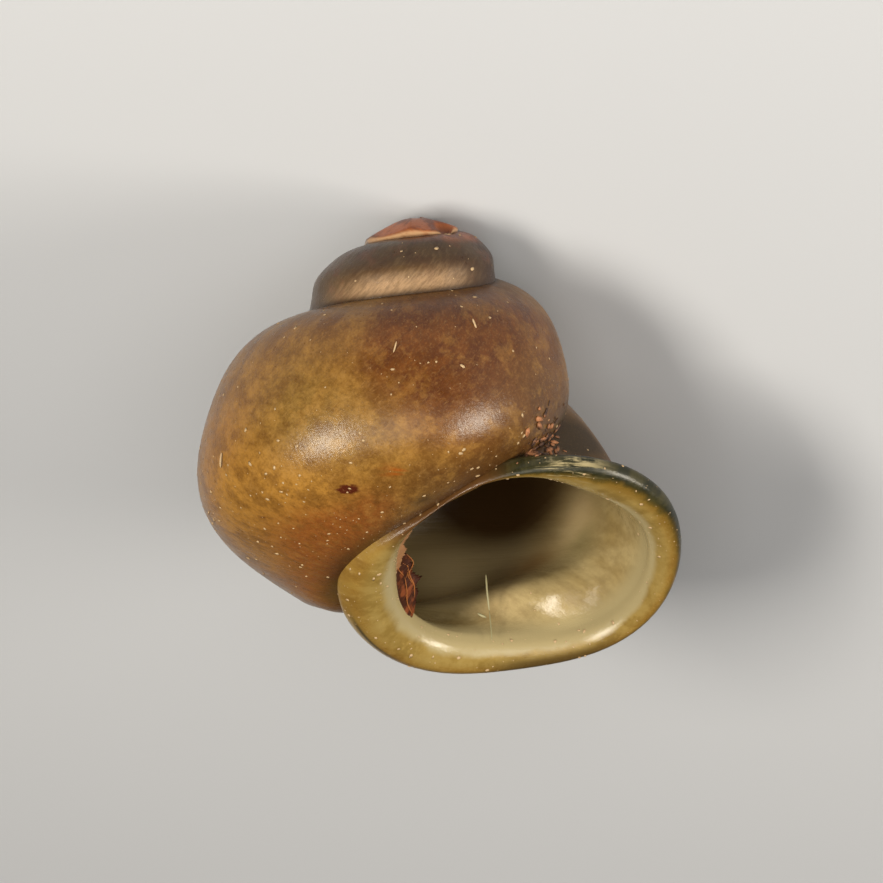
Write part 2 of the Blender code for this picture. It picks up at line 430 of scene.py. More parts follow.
size = EXPANSION**all_turns[:, None]
line_turn = all_turns[:, None] + LINE_TILT * np.sin(ANGLES) * smooth_step((-0.1 - all_turns[:, None]) / 0.4)
across_lip = np.where(lip_at > 0, 0.6 * np.clip(2.0 - lip_at, 0.0, 2.0), 1.2 - lip_at)
tube_place = np.stack(
    [
        TUBE_RADIUS * size * np.cos(ANGLES),
        TUBE_RADIUS * size * np.sin(ANGLES),
        LINE_LENGTH * EXPANSION**line_turn + across_lip,
    ],
    axis=-1,
)
put(shell, "tube_place", tube_place, "FLOAT_VECTOR")
is_outside = lip_at > 0.3
print("lip_at from", lip_at.min().round(2), "to", lip_at.max().round(2))


# %% [markdown]
# ## Where whorls touch
# Dirt and shade gather in the seam between two whorls, and here both are painted into the colour as one dark
# line. The gap from each vertex to the next whorl is worked out from the spiral itself, which is exact and
# quicker than a search for the nearest face.

# %% The gap to the next whorl
def gap_to_whorl(points, turns, shift):
    """Gap to the whorl shift turns on: (distance to its section's centre - its radius there) * its size."""
    distance = np.hypot(points[..., 0], points[..., 1])
    here = (FIRST_AZIMUTH - np.arctan2(points[..., 1], points[..., 0])) / (2 * np.pi)
    turn = here + np.round(turns[:, None] - here) + shift
    size = EXPANSION**turn
    out, up = distance / size - TUBE_OUT, points[..., 2] / size + TUBE_DOWN
    angle = np.arctan2(up, out)
    radius = np.ones_like(angle)
    for number, cosine, sine in SECTION_WAVES:
        radius += cosine * np.cos(number * angle) + sine * np.sin(number * angle)
    gap = (np.hypot(out, up) - TUBE_RADIUS * radius) * size
    return np.where((turn > APEX_TURN) & (turn < BEND_TURN), gap, NO_WHORL)


NO_WHORL = 9.0
CREVICE_WIDTH = 0.05
crevice = np.zeros(grid.shape[:2])
for shift in (-1, 1):
    gap = gap_to_whorl(unworn, all_turns, shift)
    crevice = np.maximum(crevice, bell(np.maximum(gap, 0.0), CREVICE_WIDTH))
crevice[OUT_ROWS:] = 0.0
put(shell, "crevice", crevice)


# %% [markdown]
# ## Stains
# The skin's colour changes from place to place: gold on the left, red-brown above, rust along the lower
# edge, grey towards the corner. Each stain is a sum of soft round spots on the surface. The spots low on the
# left are no stain but painted light, which makes that side brighter. Painting by hand would need a picture,
# and a pattern in space would show on other whorls too.

# %% Stains round places on the skin
def spots(where, *places):
    """Sum of soft round spots: strength * exp(-(distance / radius)^2) round each place, at most 1."""
    total = np.zeros(grid.shape[:2])
    for x, y, z, radius, strength in places:
        apart = np.linalg.norm(grid - np.array((x, y, z)), axis=-1)
        total += strength * bell(apart, radius)
    return np.clip(total, 0.0, 1.0) * where


STAINS = {
    "red_brown": (
        (1.10, -1.60, -1.70, 0.60, 0.7), (2.10, -1.00, -2.40, 0.50, 0.6), (0.0, -1.75, -1.75, 0.45, 0.5),
        (0.32, -2.23, -2.31, 0.80, 1.0), (0.91, -2.17, -2.58, 0.80, 0.8), (-0.19, -2.20, -2.23, 0.6, 0.6),
        (1.47, -1.28, -1.96, 0.60, 0.8), (0.40, -2.50, -2.95, 0.60, 0.7), (-0.35, -2.45, -2.75, 0.5, 0.6),
        (-1.25, -1.75, -2.25, 0.30, 0.4),
    ),
    "rust": (
        (-1.21, -1.47, -5.17, 0.50, 0.9), (-1.17, -0.69, -5.60, 0.60, 0.9), (-0.61, -1.88, -4.89, 0.40, 0.6),
        (-1.60, -1.00, -5.39, 0.60, 0.6), (-0.80, -1.30, -5.35, 0.45, 0.7), (-1.30, 0.10, -5.95, 0.6, 0.8),
    ),
    "grey": (
        (1.88, -1.27, -3.76, 0.50, 0.9), (1.88, -1.51, -3.25, 0.70, 0.9), (0.94, -2.34, -3.18, 0.60, 0.4),
        (0.23, -2.25, -4.42, 0.35, 0.8),
        (-0.47, -1.98, -4.80, 0.35, 0.7), (1.85, -1.20, -3.84, 0.42, 1.0), (1.20, -1.90, -4.05, 0.35, 0.8),
        (0.75, -2.05, -4.25, 0.30, 0.7), (-0.75, -1.70, -4.98, 0.25, 0.5),
    ),
    "gold": (
        (-2.86, -1.01, -4.10, 1.10, 0.9), (-2.57, -0.79, -5.06, 0.80, 0.9), (-1.79, -1.86, -4.76, 0.60, 0.7),
    ),
    "olive": (
        (-1.82, -2.11, -3.38, 0.90, 0.9), (-1.00, -2.50, -4.00, 0.90, 0.7), (2.0, -1.0, -2.7, 0.5, 0.4),
    ),
    "blot": (
        (-0.97, -2.22, -4.64, 0.10, 1.0), (-0.86, -2.25, -4.60, 0.07, 0.8),
        (-2.56, -0.89, -5.01, 0.035, 1.0), (-2.15, -1.25, -5.06, 0.035, 1.0),
    ),
    # painted light, low on the left of the body whorl
    "painted_light_low": (
        (-2.30, -1.30, -4.90, 0.75, 1.0), (-1.80, -1.86, -4.70, 0.60, 0.8), (-2.20, -0.40, -5.45, 0.70, 0.9),
        (-1.20, -2.20, -4.55, 0.50, 0.6), (-1.75, -0.10, -5.80, 0.60, 0.9), (-2.55, -1.0, -5.0, 0.6, 0.6),
    ),
    "dark_olive": (
        (2.54, 0.12, -3.74, 0.70, 1.0), (2.20, -0.60, -3.75, 0.50, 1.0), (0.15, -1.75, -4.72, 0.16, 0.8),
    ),
    "green_crease": ((-1.04, -0.07, -6.20, 0.22, 1.0), (-1.12, 0.25, -6.35, 0.22, 0.8)),
}
for name, places in STAINS.items():
    put(shell, name, spots(is_outside, *places))

RING_PLACE = np.array((-0.29, -2.46, -4.34))
RING_RADIUS = 0.085
from_ring = np.linalg.norm(grid - RING_PLACE, axis=-1)
put(shell, "orange_ring", bell(from_ring - RING_RADIUS, 0.03) * is_outside)
print("stains:", ", ".join(STAINS))

# %% [markdown]
# ## Shades inside the aperture
# The hollow is dark at the top, where it winds out of sight, and bright low on the right. The light makes
# most of that. The soft spots help it: painted shade at the top and in the middle, and painted light in
# several patches on the lower and right walls. Only the green spots are the lining's own colour.

# %% Shades of the lining
# painted shade, painted light, and the lining's own green
INSIDE_SHADES = {
    "painted_shade_inside": (
        (1.29, 3.23, -4.78, 0.75, 0.55), (1.75, 2.85, -4.50, 0.70, 0.5), (0.96, 3.32, -4.48, 0.80, 0.6),
        (0.40, 3.50, -4.60, 0.80, 0.5), (1.65, 3.00, -4.05, 0.80, 0.8), (2.2, 2.2, -4.0, 0.5, 0.4),
    ),
    "painted_dim_inside": (
        (0.28, 3.51, -5.01, 0.70, 0.3), (1.60, 2.60, -5.90, 0.45, 0.9), (1.9, 2.5, -5.5, 0.4, 0.5),
    ),
    "painted_light_inside": (
        (2.65, 2.35, -4.90, 0.50, 1.0), (1.31, 2.04, -6.29, 0.50, 0.5), (0.60, 2.60, -6.35, 0.50, 1.0),
        (0.45, 3.10, -5.75, 0.50, 0.7), (1.30, 2.90, -5.40, 0.40, 0.5),
    ),
    "green_inside": ((2.62, 1.98, -5.28, 0.35, 1.0), (3.04, 0.86, -4.76, 0.05, 1.0)),
}
for name, places in INSIDE_SHADES.items():
    put(shell, name, spots(~is_outside, *places))
print("shades:", ", ".join(INSIDE_SHADES))

# %% [markdown]
# ## Bands on the spire
# Above the seam the spire has a pale band of painted sheen, and the chipped cap ends in a ridge of bare
# lime. Such marks follow a line, so each is a bell across the gap to the next whorl.

# %% Bands along the seam
suture_gap = gap_to_whorl(unworn, all_turns, 1)
sheen_places = spots(is_outside, (-0.62, -1.45, -1.62, 0.75, 1.0), (0.50, -1.45, -1.55, 0.45, 0.9))
# painted sheen: a pale band along the seam, where the gloss would catch the light
put(shell, "painted_sheen_band", bell(suture_gap - 0.15, 0.19) * sheen_places)
on_cap = smooth_step((-2.2 - all_turns[:, None]) / 0.2)
put(shell, "cap_ridge", on_cap * bell(suture_gap - 0.07, 0.075) * (grid[..., 1] < 0))
# the pit is painted dark as shade in the hollow
put(shell, "pit", spots(is_outside, (*PIT_PLACE, 0.12, 1.0)))
put(shell, "spire", smooth_step((-1.08 - all_turns) / 0.12)[:, None] * np.ones(ROUND))
put(shell, "apex", smooth_step((grid[..., 2] + 0.98) / 0.16) * is_outside)
print("pale band, cap ridge, pit, spire and apex")

# %% [markdown]
# ## Bands round the lip
# The body whorl is darker where it meets the inner lip: painted shade, with some dirt. The lip itself has a
# brown fold where it crosses the whorl, a dark slit with a white edge at the lower left, and a dull stretch
# at the bottom. They are bands of angle round the rim times a bell across the lip.

# %% Bands along the lip
NEAR_LIP_TURNS = (-1.2, -0.12)
NEAR_LIP_WIDTH = 0.33
INNER_RIM = slice(30, 120)


def along_rim(middle, width):
    """A flat-topped band round the rim: exp(-((angle - middle) / width)^4), in degrees."""
    return np.exp(-(((ANGLES - np.radians(middle)) / np.radians(width)) ** 4))


rim_line = grid[OUT_ROWS + LIP_ROWS // 2]
# painted shade, with some dirt, that fades with distance from the inner lip
dirt_and_shade_near_lip = np.zeros(grid.shape[:2])
for row in range(*(round((turn - APEX_TURN) * ROWS_PER_TURN) for turn in NEAR_LIP_TURNS)):
    apart = np.linalg.norm(grid[row, :, None] - rim_line[None, INNER_RIM], axis=-1).min(axis=1)
    dirt_and_shade_near_lip[row] = bell(apart, NEAR_LIP_WIDTH)
put(shell, "dirt_and_shade_near_lip", dirt_and_shade_near_lip)
from_fold = np.abs(ANGLES - np.radians(133)) / np.radians(36)
put(shell, "parietal", np.broadcast_to(1 - smooth_step((from_fold - 0.6) / 0.5), grid.shape[:2]))
put(shell, "low_rim", along_rim(297, 26) * smooth_step((lip_at - 0.25) / 0.4))
put(shell, "slit", along_rim(222, 13) * bell(lip_at - 0.86, 0.035))
put(shell, "slit_edge", along_rim(222, 13) * bell(lip_at - 0.97, 0.06))
# streaks on the rim: partly a white deposit, partly a painted glint
STREAK_PLACES = ((2.16, -1.78, -4.17, 0.30, 0.9), (2.55, -1.75, -4.12, 0.30, 0.9))
put(shell, "streak_and_glint", spots(is_outside, *STREAK_PLACES))
print("bands along the lip, the nearest", dirt_and_shade_near_lip.max().round(2))


# %% [markdown]
# ## Materials
# The finish of a shell is a thin horny skin over pale lime: gloss on top, olive and amber stain in it,
# and fine lines of growth. It is mixed from plain noise and the numbers on the vertices.

# %% Helpers for node materials
class Finish:
    """A material and its node tree, with short ways to add nodes and join them."""

    def __init__(self, name, **shader):
        self.material = bpy.data.materials.new(name)
        self.material.use_nodes = True
        self.tree = self.material.node_tree
        self.shader = self.tree.nodes["Principled BSDF"]
        for socket, value in shader.items():
            self.shader.inputs[socket.replace("_", " ")].default_value = value

    def node(self, kind, **settings):
        """A new node of this kind."""
        made = self.tree.nodes.new(kind)
        for key, value in settings.items():
            setattr(made, key, value)
        return made

    def join(self, source, target):
        """A link from an output to an input."""
        self.tree.links.new(source, target)

    def number(self, name):
        """The value that the vertices carry under this name."""
        return self.node("ShaderNodeAttribute", attribute_name=name).outputs["Fac"]

    def vector(self, name):
        """The vector that the vertices carry under this name."""
        return self.node("ShaderNodeAttribute", attribute_name=name).outputs["Vector"]

    def math(self, operation, first, second):
        """One operation on two values, each a number or an output."""
        made = self.node("ShaderNodeMath", operation=operation)
        for socket, value in zip(made.inputs, (first, second)):
            if isinstance(value, (int, float)):
                socket.default_value = value
            else:
                self.join(value, socket)
        return made.outputs[0]

    def step(self, value, low, high, to_low=0.0, to_high=1.0):
        """Smoothly from to_low at low to to_high at high."""
        made = self.node("ShaderNodeMapRange", interpolation_type="SMOOTHSTEP")
        self.join(value, made.inputs["Value"])
        limits = {"From Min": low, "From Max": high, "To Min": to_low, "To Max": to_high}
        for socket, number in limits.items():
            made.inputs[socket].default_value = number
        return made.outputs["Result"]

    def noise(self, place, scale, detail=4.0, roughness=0.5, stretch=(1, 1, 1), shift=0.0, tilt=0.0):
        """Noise at a place that is first turned by tilt, then stretched and shifted."""
        if tilt:
            leaning = self.node("ShaderNodeMapping")
            leaning.inputs["Rotation"].default_value = (-tilt, 0.0, 0.0)
            self.join(place, leaning.inputs["Vector"])
            place = leaning.outputs["Vector"]
        mapping = self.node("ShaderNodeMapping")
        self.join(place, mapping.inputs["Vector"])
        mapping.inputs["Scale"].default_value = stretch
        mapping.inputs["Location"].default_value = (shift, shift, shift)
        made = self.node("ShaderNodeTexNoise")
        self.join(mapping.outputs["Vector"], made.inputs["Vector"])
        made.inputs["Scale"].default_value = scale
        made.inputs["Detail"].default_value = detail
        made.inputs["Roughness"].default_value = roughness
        return made.outputs["Fac"]

    def mix(self, share, first, second, way="MIX"):
        """From the first colour to the second by share, or blended in another way."""
        made = self.node("ShaderNodeMix", data_type="RGBA", blend_type=way)
        for socket, value in zip((made.inputs[0], made.inputs[6], made.inputs[7]), (share, first, second)):
            if isinstance(value, (int, float)):
                socket.default_value = value
            elif isinstance(value, tuple):
                socket.default_value = (*value, 1.0)
            else:
                self.join(value, socket)
        return made.outputs[2]

    def bump(self, height, strength, distance, before=None):
        """A normal bent by height, on top of the normal before it."""
        made = self.node("ShaderNodeBump")
        made.inputs["Strength"].default_value = strength
        made.inputs["Distance"].default_value = distance
        self.join(height, made.inputs["Height"])
        if before is not None:
            self.join(before, made.inputs["Normal"])
        return made.outputs["Normal"]


# %% [markdown]
# ## The patterns
# The skin's patterns are noises at several sizes, from broad clouds to fine grain. One is stretched along
# the lines of growth, and two are brushed across them. All read each vertex's place along the tube, so
# they follow the whorls.

# %% Noises for the skin
BRUSH_TILT = np.radians(36)
skin = Finish("horny_skin", Coat_Weight=0.22, Coat_Roughness=0.14, Specular_IOR_Level=0.20)
place = skin.vector("tube_place")
lip_value = skin.number("lip_at")
cloud = skin.noise(place, 0.6, 5.0, 0.6)
patches = skin.noise(place, 2.2, 8.0, 0.68)
mottle = skin.noise(place, 6.0, 8.0, 0.7, shift=7.0)
grain = skin.noise(place, 22.0, 5.0, 0.65)
streaks = skin.noise(place, 1.0, 8.0, 0.7, stretch=(1.2, 1.2, 18.0))
brush = skin.noise(place, 3.0, 8.0, 0.66, stretch=(1.0, 1.5, 0.55), shift=3.0, tilt=BRUSH_TILT)
scratch = skin.noise(place, 9.0, 6.0, 0.7, stretch=(1.0, 2.6, 0.5), shift=5.0, tilt=BRUSH_TILT)


def stained(base, name, colour, strength=None):
    """The base with the colour where the vertices carry the named stain or painted light or shade, times a
    strength or a pattern.
    """
    share = skin.number(name)
    if strength is not None:
        share = skin.math("MULTIPLY", share, strength)
    return skin.mix(share, base, colour)


def mottled(base, pattern, clear, full, strength, colour):
    """The base with the colour: none where the pattern is at clear, and as much as strength at full."""
    return skin.mix(skin.step(pattern, clear, full, 0.0, strength), base, colour)


print("patterns tilted by", round(float(np.degrees(BRUSH_TILT))), "degrees")

# %% [markdown]
# ## The body whorl
# The horny skin is golden olive. Under it red-brown, grey and rust break up into clouds, patches and fine
# scratches. Each layer is mixed over the last, from broad to fine, as a painter would glaze them.

# %% Colours of the body whorl
body = skin.mix(skin.step(cloud, 0.38, 0.62), (0.235, 0.105, 0.018), (0.285, 0.152, 0.032))
body = stained(body, "gold", (0.36, 0.170, 0.028), 0.85)
body = stained(body, "olive", (0.26, 0.165, 0.040), 0.8)
# painted light: the lower left of the body whorl is brightened in its colour
body = stained(body, "painted_light_low", (0.48, 0.260, 0.052), 0.8)
body = stained(body, "red_brown", (0.19, 0.060, 0.009), 0.85)
body = stained(body, "red_brown", (0.080, 0.022, 0.005), skin.step(brush, 0.42, 0.60, 0.1, 1.0))
body = stained(body, "grey", (0.080, 0.038, 0.017), skin.step(patches, 0.30, 0.60, 0.5, 0.95))
body = stained(body, "rust", (0.46, 0.175, 0.030), 0.8)
body = stained(body, "rust", (0.24, 0.060, 0.010), skin.step(patches, 0.38, 0.60, 0.1, 0.9))
body = mottled(body, patches, 0.54, 0.38, 0.50, (0.120, 0.048, 0.008))
body = mottled(body, patches, 0.50, 0.62, 0.40, (0.44, 0.245, 0.058))
body = mottled(body, mottle, 0.56, 0.36, 0.34, (0.095, 0.038, 0.008))
body = mottled(body, mottle, 0.53, 0.68, 0.25, (0.46, 0.265, 0.075))
body = mottled(body, streaks, 0.50, 0.70, 0.16, (0.12, 0.06, 0.015))
body = mottled(body, streaks, 0.46, 0.32, 0.14, (0.42, 0.25, 0.08))
body = stained(body, "red_brown", (0.070, 0.022, 0.007), skin.step(scratch, 0.48, 0.64, 0.0, 0.6))
body = stained(body, "red_brown", (0.36, 0.18, 0.070), skin.step(scratch, 0.46, 0.34, 0.0, 0.35))
body = stained(body, "red_brown", (0.100, 0.026, 0.005), 0.35)
body = mottled(body, scratch, 0.55, 0.72, 0.30, (0.46, 0.27, 0.10))
body = mottled(body, scratch, 0.46, 0.32, 0.30, (0.11, 0.045, 0.010))
body = stained(body, "dark_olive", (0.036, 0.022, 0.007))
# painted shade, with some dirt, on the body whorl next to the inner lip
body = stained(body, "dirt_and_shade_near_lip", (0.070, 0.030, 0.010), skin.step(patches, 0.3, 0.6, 0.75, 1.0))
body = stained(body, "green_crease", (0.16, 0.115, 0.020))
blot = skin.math("MULTIPLY", skin.number("blot"), skin.step(mottle, 0.30, 0.5, 0.5, 1.0))
body = skin.mix(skin.step(blot, 0.15, 0.5), body, (0.080, 0.014, 0.005))
body = stained(body, "orange_ring", (0.34, 0.085, 0.008), 0.9)
body = mottled(body, grain, 0.50, 0.64, 0.22, (0.075, 0.036, 0.010))
body = mottled(body, grain, 0.46, 0.34, 0.14, (0.48, 0.30, 0.12))
print(len(skin.tree.nodes), "nodes so far")

# %% [markdown]
# ## The spire and the apex
# The spire is grey-brown and dull, paler where it is rubbed, with a painted sheen along the seam. At the
# apex the horny skin is gone, and the old lime is red-brown, with a pale ridge and a pit painted dark with
# shade.

# %% Colours of the spire
spire_tone = skin.mix(skin.step(cloud, 0.42, 0.58), (0.044, 0.019, 0.007), (0.075, 0.045, 0.019))
spire_tone = mottled(spire_tone, patches, 0.52, 0.66, 0.7, (0.105, 0.040, 0.018))
spire_tone = mottled(spire_tone, scratch, 0.48, 0.68, 0.18, (0.24, 0.17, 0.10))
# painted sheen along the seam, broken up by the scratches
spire_tone = stained(spire_tone, "painted_sheen_band", (0.56, 0.39, 0.25), skin.step(scratch, 0.36, 0.62, 0.55, 0.95))
body = skin.mix(skin.number("spire"), body, spire_tone)
apex_tone = skin.mix(skin.step(patches, 0.42, 0.58), (0.17, 0.038, 0.010), (0.42, 0.125, 0.038))
body = skin.mix(skin.number("apex"), body, apex_tone)
body = stained(body, "cap_ridge", (0.58, 0.37, 0.22), skin.step(mottle, 0.3, 0.55, 0.4, 1.0))
# painted shade in the pit
body = stained(body, "pit", (0.030, 0.010, 0.005))
# painted shade, with some dirt, along the seams between whorls
body = stained(body, "crevice", (0.035, 0.016, 0.006), 0.75)
print(len(skin.tree.nodes), "nodes so far")

# %% [markdown]
# ## The lip
# From outside in, the lip goes from a dark green back over ochre and beige to a pale bluish ring at the
# throat. The number that each vertex carries for its place across the lip sets the zones, and noise frays
# their borders.

# %% Colours of the lip
green_value = skin.math("ADD", skin.number("green_at"), skin.step(patches, 0.3, 0.7, -0.07, 0.07))
green_tone = skin.mix(skin.step(patches, 0.42, 0.66), (0.014, 0.016, 0.005), (0.060, 0.056, 0.020))
ochre = skin.mix(skin.step(patches, 0.38, 0.62), (0.29, 0.170, 0.036), (0.33, 0.220, 0.055))
beige = skin.mix(skin.step(patches, 0.35, 0.65), (0.31, 0.220, 0.064), (0.36, 0.275, 0.100))
lip_tone = skin.mix(skin.step(lip_value, 0.80, 0.45), ochre, beige)
lip_tone = mottled(lip_tone, patches, 0.52, 0.38, 0.32, (0.16, 0.105, 0.025))
lip_tone = mottled(lip_tone, mottle, 0.54, 0.68, 0.35, (0.50, 0.37, 0.13))
ring_value = skin.math("ADD", lip_value, skin.step(cloud, 0.3, 0.7, -0.10, 0.10))
lip_tone = skin.mix(skin.step(ring_value, 0.32, 0.12), lip_tone, (0.43, 0.385, 0.235))
lip_tone = skin.mix(skin.step(green_value, -0.28, 0.02), lip_tone, (0.16, 0.105, 0.020))
lip_tone = skin.mix(skin.step(green_value, -0.10, 0.10), lip_tone, green_tone)
# partly a white deposit, partly a painted glint on the rim
lip_tone = stained(lip_tone, "streak_and_glint", (0.42, 0.38, 0.24), skin.step(streaks, 0.50, 0.60))
lip_tone = stained(lip_tone, "parietal", (0.115, 0.055, 0.018), skin.step(lip_value, 0.20, 0.50))
lip_tone = stained(lip_tone, "low_rim", (0.080, 0.054, 0.019), 0.9)
lip_tone = stained(lip_tone, "slit", (0.020, 0.022, 0.008))
lip_tone = stained(lip_tone, "slit_edge", (0.48, 0.44, 0.32), 0.8)
print(len(skin.tree.nodes), "nodes so far")

# %% [markdown]
# ## The lining
# The hollow is lined with smooth grey-green lime. The last mix puts body, lip and lining together by the
# place across the lip, and a multiply sets the depth of all the colours at once against the lights.

# %% Colours of the lining
lining = skin.mix(skin.step(cloud, 0.38, 0.62), (0.38, 0.300, 0.140), (0.48, 0.410, 0.230))
lining = mottled(lining, patches, 0.60, 0.36, 0.35, (0.17, 0.120, 0.048))
lining = mottled(lining, mottle, 0.56, 0.36, 0.18, (0.16, 0.110, 0.050))
# painted shade where the hollow is dim or winds away, then painted light; the green below is the lime's own
lining = stained(lining, "painted_dim_inside", (0.34, 0.215, 0.090))
lining = stained(lining, "painted_light_inside", (0.88, 0.72, 0.44), 0.8)
lining = stained(lining, "painted_shade_inside", (0.060, 0.032, 0.013))
lining = stained(lining, "green_inside", (0.16, 0.150, 0.060), 0.6)
lip_tone = skin.mix(skin.step(lip_value, -0.05, -0.45), lip_tone, lining)
colour = skin.mix(skin.step(lip_value, 2.30, 1.85), body, lip_tone)
colour = skin.mix(1.0, colour, (0.62, 0.57, 0.49), "MULTIPLY")
skin.join(colour, skin.shader.inputs["Base Color"])
print(len(skin.tree.nodes), "nodes for the colour")

# %% [markdown]
# ## Relief and gloss
# Growth lines, dimples and grain are only hundredths of a millimetre deep, so they are bump and not mesh.
# The outside has the dull gloss of horn, uneven from wear, and the lining is nearly polished.

# %% Relief and gloss of the skin
RELIEF = ((streaks, 0.18, 0.00002), (mottle, 0.14, 0.00003), (grain, 0.35, 0.00001))
LINING_ROUGHNESS = 0.075
relief = None
for pattern, strength, deep in RELIEF:
    relief = skin.bump(pattern, strength, deep, relief)
skin.join(relief, skin.shader.inputs["Normal"])
skin.join(relief, skin.shader.inputs["Coat Normal"])
dull = skin.math("MULTIPLY", skin.number("dark_olive"), 0.8)
outside_roughness = skin.math("MAXIMUM", skin.step(mottle, 0.30, 0.70, 0.26, 0.44), dull)
roughness = skin.node("ShaderNodeMix", data_type="FLOAT")
skin.join(skin.step(lip_value, 0.9, 0.3), roughness.inputs[0])
skin.join(outside_roughness, roughness.inputs[2])
roughness.inputs[3].default_value = LINING_ROUGHNESS
skin.join(roughness.outputs[0], skin.shader.inputs["Roughness"])


def dress(piece, finish):
    """Gives the piece its finish and fixes it to the one body in place of the solid shell."""
    piece.data.materials.append(finish.material)
    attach(piece, "root")
    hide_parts("snail_shell")


dress(shell, skin)
print("skin finished with", len(skin.tree.nodes), "nodes")

# %% [markdown]
# ## Dust
# Specks of lime and dust cling to the skin, most of them low on the body whorl and on the lip. They are
# hundreds, so each is a small ball of 20 faces, pressed flat, and all of them are one mesh. A particle
# system would do the same, but its pieces couldn't be picked by place.

# %% Specks of dust
rng = np.random.default_rng(7)
GOLDEN = (1 + 5**0.5) / 2
BALL = np.array(
    [(-1, GOLDEN, 0), (1, GOLDEN, 0), (-1, -GOLDEN, 0), (1, -GOLDEN, 0),
     (0, -1, GOLDEN), (0, 1, GOLDEN), (0, -1, -GOLDEN), (0, 1, -GOLDEN),
     (GOLDEN, 0, -1), (GOLDEN, 0, 1), (-GOLDEN, 0, -1), (-GOLDEN, 0, 1)]
) / np.hypot(1, GOLDEN)
BALL_FACES = np.array(
    [(0, 11, 5), (0, 5, 1), (0, 1, 7), (0, 7, 10), (0, 10, 11),
     (1, 5, 9), (5, 11, 4), (11, 10, 2), (10, 7, 6), (7, 1, 8),
     (3, 9, 4), (3, 4, 2), (3, 2, 6), (3, 6, 8), (3, 8, 9), (4, 9, 5), (2, 4, 11), (6, 2, 10),
     (8, 6, 7), (9, 8, 1)]
)
by_row = np.gradient(grid, axis=0)
by_angle = np.roll(grid, -1, axis=1) - np.roll(grid, 1, axis=1)
normals = np.cross(by_angle, by_row)
normals /= np.linalg.norm(normals, axis=-1, keepdims=True) + 1e-12
middle_row = OUT_ROWS // 2
outward_there = grid[middle_row] - grid[middle_row].mean(axis=0)
if (outward_there * normals[middle_row]).sum() < 0:
    normals = -normals


def mesh_of(name, vertices, faces):
    """A smooth mesh from vertices in the shell's frame."""
    mesh = bpy.data.meshes.new(name)
    mesh.from_pydata(laid(vertices).tolist(), [], faces.tolist())
    mesh.update()
    mesh.shade_smooth()
    piece = bpy.data.objects.new(name, mesh)
    bpy.context.scene.collection.objects.link(piece)
    return piece


def specks(name, centres, up, sizes, flat=0.5, long=1.0):
    """Balls at the centres: each is stretched along a random direction on the skin and pressed along up."""
    count = len(centres)
    side = np.cross(up, rng.normal(size=(count, 3)))
    side /= np.linalg.norm(side, axis=1, keepdims=True)
    other = np.cross(up, side)
    lumps = BALL[None] * rng.uniform(0.75, 1.25, (count, len(BALL), 1))
    length = sizes * rng.uniform(1.0, np.maximum(long, 1.001), count)
    shape = (
        lumps[..., :1] * (length[:, None] * side)[:, None]
        + lumps[..., 1:2] * (sizes[:, None] * other)[:, None]
        + lumps[..., 2:] * (sizes[:, None] * flat * up)[:, None]
    )
    vertices = (centres[:, None] + shape).reshape(-1, 3)
    faces = (BALL_FACES[None] + 12 * np.arange(count)[:, None, None]).reshape(-1, 3)
    return mesh_of(name, vertices, faces)


ROWS_OF_DUST_INSIDE = 8
BARE_ROWS = 60
area = np.linalg.norm(np.cross(by_angle, by_row), axis=-1)
seen = np.ones(grid.shape[:2])
for shift in (-1, 1):
    seen *= gap_to_whorl(unworn, all_turns, shift) > 0.01
seen[LAST_LIP + ROWS_OF_DUST_INSIDE :] = 0.0
seen[:BARE_ROWS] = 0.0
low_left = spots(
    is_outside, (-2.2, -1.0, -5.1, 1.1, 0.9), (-1.2, -1.4, -5.2, 0.8, 0.9), (0.3, -2.3, -4.4, 0.6, 0.5)
)
waves = np.sin(tube_place[..., 0] * 2.1 + 1.0) * np.sin(tube_place[..., 2] * 1.7)
clouds = smooth_step(1.5 * waves * np.sin(tube_place[..., 1] * 1.9))
weight = area * seen * (0.25 + 1.0 * clouds + 2.2 * low_left + 1.2 * ((lip_at > -0.1) & (lip_at < 1.6)))


def scattered(count, weight):
    """Rows and angles of grid points drawn with this weight."""
    chosen = rng.choice(weight.size, count, p=(weight / weight.sum()).ravel(), replace=False)
    return np.unravel_index(chosen, weight.shape)


DUST = 1000
rows, columns = scattered(DUST, weight)
sizes = 0.006 + 0.022 * rng.random(DUST) ** 3
dust = specks("dust", grid[rows, columns] + 0.1 * sizes[:, None] * normals[rows, columns],
              normals[rows, columns], sizes, flat=0.30, long=1.8)
pale_dust = Finish("lime_dust", Base_Color=(0.34, 0.235, 0.125, 1.0), Roughness=0.6)
dress(dust, pale_dust)
print(DUST, "specks of dust")

# %% [markdown]
# ## Grains in the corner
# Where the lip meets the body whorl, dirt has gathered: orange-brown grains over a dark stain.

# %% Grains
CORNER = np.array((1.85, -1.15, -3.85))
CORNER_WIDTH = 0.34
near_corner = bell(np.linalg.norm(grid - CORNER, axis=-1), CORNER_WIDTH) * area * is_outside * seen
GRAINS = 130
rows, columns = scattered(GRAINS, near_corner)
sizes = 0.008 + 0.050 * rng.random(GRAINS) ** 3
grains = specks("corner_grains", grid[rows, columns] + 0.2 * sizes[:, None] * normals[rows, columns],
                normals[rows, columns], sizes, flat=0.4, long=3.2)
grain_tone = Finish("corner_dirt", Roughness=0.7)
tone_at = grain_tone.node("ShaderNodeTexCoord").outputs["Object"]
speckle = grain_tone.noise(tone_at, 5000.0)
tone = grain_tone.mix(grain_tone.step(speckle, 0.42, 0.62), (0.035, 0.013, 0.006), (0.30, 0.12, 0.045))
grain_tone.join(tone, grain_tone.shader.inputs["Base Color"])
dress(grains, grain_tone)
print(GRAINS, "grains in the corner")

# %% [markdown]
# ## Threads
# A few fibres of lint and plant lie on the shell. Each is a thin tube with six sides along a bent line.

